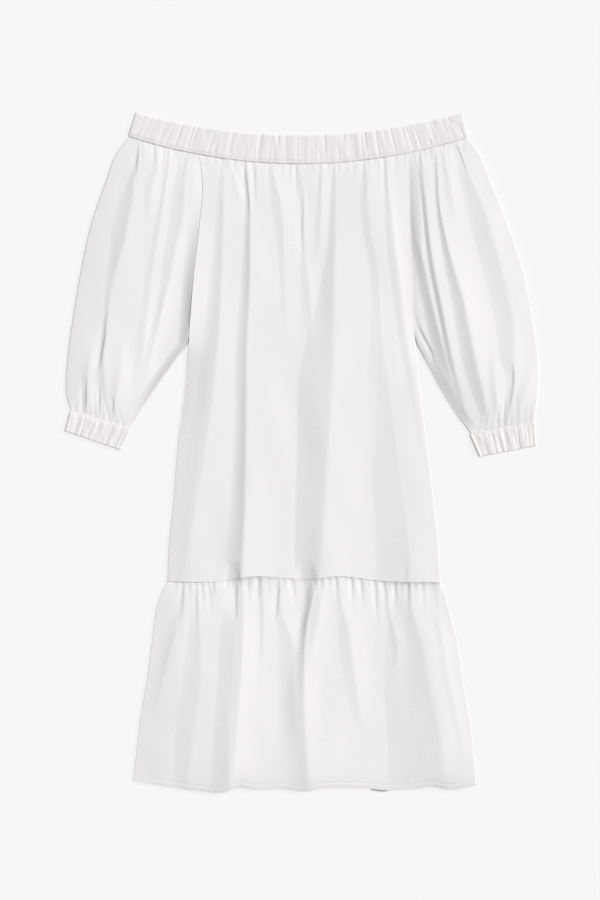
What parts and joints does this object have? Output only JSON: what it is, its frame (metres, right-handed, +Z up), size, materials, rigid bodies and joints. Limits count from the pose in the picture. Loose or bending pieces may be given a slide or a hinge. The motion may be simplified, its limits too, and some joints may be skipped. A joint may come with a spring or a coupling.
{
  "type": "off-shoulder dress",
  "caption": "Laid-flat off-shoulder dress with gathered neckband, raglan balloon sleeves, elastic cuffs and ruffled hem.",
  "frame": {"origin": "under the middle of the dress's outline, on the surface that it lies on", "axes": "+Y up the dress from hem to neck, +X to the right as the front is seen, +Z up out of the front from the surface"},
  "size_m": [0.6274, 0.899, 0.0182],
  "materials": {
    "cotton": "crisp white cotton poplin, matt with a faint sheen",
    "casing": "the same white cotton poplin, tightly gathered over elastic"
  },
  "bodies": {
    "root": {"neckband": "casing", "body_front": "cotton", "body_back": "cotton", "sleeve_left": "cotton", "sleeve_right": "cotton", "cuff_left": "casing", "cuff_right": "casing", "ruffle_front": "cotton", "ruffle_back": "cotton"}
  },
  "joints": []
}
